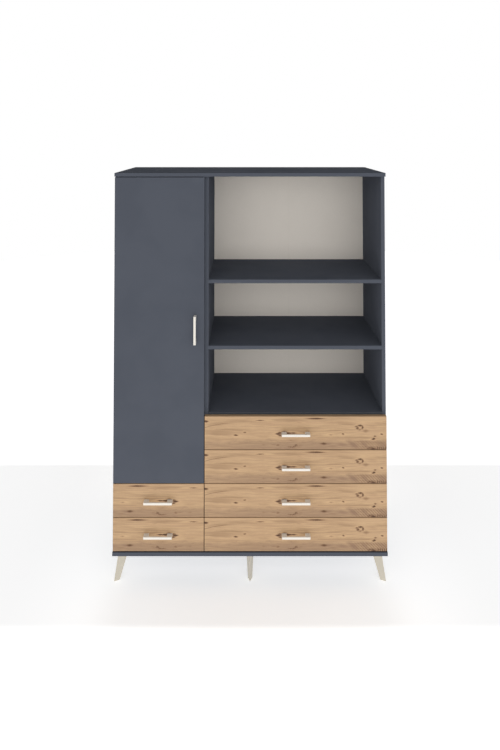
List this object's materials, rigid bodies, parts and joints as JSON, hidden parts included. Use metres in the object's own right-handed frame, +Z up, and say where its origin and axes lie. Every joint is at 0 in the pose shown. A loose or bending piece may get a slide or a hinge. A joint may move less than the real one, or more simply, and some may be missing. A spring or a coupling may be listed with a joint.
{
  "type": "chifforobe",
  "caption": "Tall flat-pack chifforobe: a hanging column behind one hinged door, open shelf bays beside it, sliding wood-grain drawers below, on splayed metal legs.",
  "frame": {"origin": "on the floor under the middle of the bounding box", "axes": "+X to the viewer's right, +Y to the back, +Z up; the fronts face -Y"},
  "size_m": [1.2, 0.474, 1.78],
  "materials": {
    "dark_board": "matt melamine, dark grey",
    "oak_front": "wood-grain foil with knots, matt",
    "back_sheet": "painted fibreboard, matt",
    "joining_strip": "matt",
    "drawer_board": "pale melamine",
    "handle_metal": "satin pale nickel",
    "slide_steel": "zinc plated",
    "hinge_steel": "nickel plated",
    "rail_tube": "chrome plated",
    "bracket_plastic": "moulded",
    "screw_steel": "zinc plated",
    "leg_metal": "satin champagne coating",
    "cam_metal": "zinc cast",
    "dowel_wood": "bare beech"
  },
  "bodies": {
    "carcass": {"back_joining_strip": "joining_strip", "bay_back_left": "back_sheet", "bay_back_right": "back_sheet", "board_dowels": "dowel_wood", "bottom_panel": "dark_board", "cabinet_slides": "slide_steel", "cam_fittings": "cam_metal", "drawer_cover_board": "dark_board", "hanging_rail": "rail_tube", "hanging_space_back": "back_sheet", "hanging_space_floor": "dark_board", "hinge_arms": "hinge_steel", "left_divider": "dark_board", "left_side_panel": "dark_board", "leg_back_left": "leg_metal", "leg_back_middle": "leg_metal", "leg_back_right": "leg_metal", "leg_front_left": "leg_metal", "leg_front_middle": "leg_metal", "leg_front_right": "leg_metal", "leg_screws": "screw_steel", "middle_shelf": "dark_board", "rail_brackets": "bracket_plastic", "right_divider": "dark_board", "right_side_panel": "dark_board", "top_panel": "dark_board", "upper_shelf": "dark_board"},
    "door": {"door_panel": "dark_board", "door_handle": "handle_metal", "hinge_cups": "hinge_steel"},
    "wide_drawer_1": {"wide_drawer_1_front": "oak_front", "wide_drawer_1_box": "drawer_board", "wide_drawer_1_handle": "handle_metal", "wide_drawer_1_runner": "slide_steel"},
    "wide_drawer_1_carriages": {"wide_drawer_1_carriage": "slide_steel"},
    "wide_drawer_2": {"wide_drawer_2_front": "oak_front", "wide_drawer_2_box": "drawer_board", "wide_drawer_2_handle": "handle_metal", "wide_drawer_2_runner": "slide_steel"},
    "wide_drawer_2_carriages": {"wide_drawer_2_carriage": "slide_steel"},
    "wide_drawer_3": {"wide_drawer_3_front": "oak_front", "wide_drawer_3_box": "drawer_board", "wide_drawer_3_handle": "handle_metal", "wide_drawer_3_runner": "slide_steel"},
    "wide_drawer_3_carriages": {"wide_drawer_3_carriage": "slide_steel"},
    "wide_drawer_4": {"wide_drawer_4_front": "oak_front", "wide_drawer_4_box": "drawer_board", "wide_drawer_4_handle": "handle_metal", "wide_drawer_4_runner": "slide_steel"},
    "wide_drawer_4_carriages": {"wide_drawer_4_carriage": "slide_steel"},
    "small_drawer_1": {"small_drawer_1_front": "oak_front", "small_drawer_1_box": "drawer_board", "small_drawer_1_handle": "handle_metal", "small_drawer_1_runner": "slide_steel"},
    "small_drawer_1_carriages": {"small_drawer_1_carriage": "slide_steel"},
    "small_drawer_2": {"small_drawer_2_front": "oak_front", "small_drawer_2_box": "drawer_board", "small_drawer_2_handle": "handle_metal", "small_drawer_2_runner": "slide_steel"},
    "small_drawer_2_carriages": {"small_drawer_2_carriage": "slide_steel"}
  },
  "joints": [
    {"name": "door_swing", "type": "hinge", "parent": "carcass", "child": "door", "pos_m": [-0.592, -0.204, 1.0945], "axis": [0, 0, -1], "range_deg": [0, 105]},
    {"name": "wide_drawer_1_slide", "type": "slide", "parent": "carcass", "child": "wide_drawer_1", "axis": [0, -1, 0], "range_m": [0, 0.34]},
    {"name": "wide_drawer_1_carriage_slide", "type": "slide", "parent": "carcass", "child": "wide_drawer_1_carriages", "axis": [0, -1, 0], "range_m": [0, 0.17]},
    {"name": "wide_drawer_2_slide", "type": "slide", "parent": "carcass", "child": "wide_drawer_2", "axis": [0, -1, 0], "range_m": [0, 0.34]},
    {"name": "wide_drawer_2_carriage_slide", "type": "slide", "parent": "carcass", "child": "wide_drawer_2_carriages", "axis": [0, -1, 0], "range_m": [0, 0.17]},
    {"name": "wide_drawer_3_slide", "type": "slide", "parent": "carcass", "child": "wide_drawer_3", "axis": [0, -1, 0], "range_m": [0, 0.34]},
    {"name": "wide_drawer_3_carriage_slide", "type": "slide", "parent": "carcass", "child": "wide_drawer_3_carriages", "axis": [0, -1, 0], "range_m": [0, 0.17]},
    {"name": "wide_drawer_4_slide", "type": "slide", "parent": "carcass", "child": "wide_drawer_4", "axis": [0, -1, 0], "range_m": [0, 0.34]},
    {"name": "wide_drawer_4_carriage_slide", "type": "slide", "parent": "carcass", "child": "wide_drawer_4_carriages", "axis": [0, -1, 0], "range_m": [0, 0.17]},
    {"name": "small_drawer_1_slide", "type": "slide", "parent": "carcass", "child": "small_drawer_1", "axis": [0, -1, 0], "range_m": [0, 0.34]},
    {"name": "small_drawer_1_carriage_slide", "type": "slide", "parent": "carcass", "child": "small_drawer_1_carriages", "axis": [0, -1, 0], "range_m": [0, 0.17]},
    {"name": "small_drawer_2_slide", "type": "slide", "parent": "carcass", "child": "small_drawer_2", "axis": [0, -1, 0], "range_m": [0, 0.34]},
    {"name": "small_drawer_2_carriage_slide", "type": "slide", "parent": "carcass", "child": "small_drawer_2_carriages", "axis": [0, -1, 0], "range_m": [0, 0.17]}
  ],
  "couplings": [
    {"joint": "wide_drawer_1_carriage_slide", "follows": "wide_drawer_1_slide", "ratio": 0.5},
    {"joint": "wide_drawer_2_carriage_slide", "follows": "wide_drawer_2_slide", "ratio": 0.5},
    {"joint": "wide_drawer_3_carriage_slide", "follows": "wide_drawer_3_slide", "ratio": 0.5},
    {"joint": "wide_drawer_4_carriage_slide", "follows": "wide_drawer_4_slide", "ratio": 0.5},
    {"joint": "small_drawer_1_carriage_slide", "follows": "small_drawer_1_slide", "ratio": 0.5},
    {"joint": "small_drawer_2_carriage_slide", "follows": "small_drawer_2_slide", "ratio": 0.5}
  ]
}
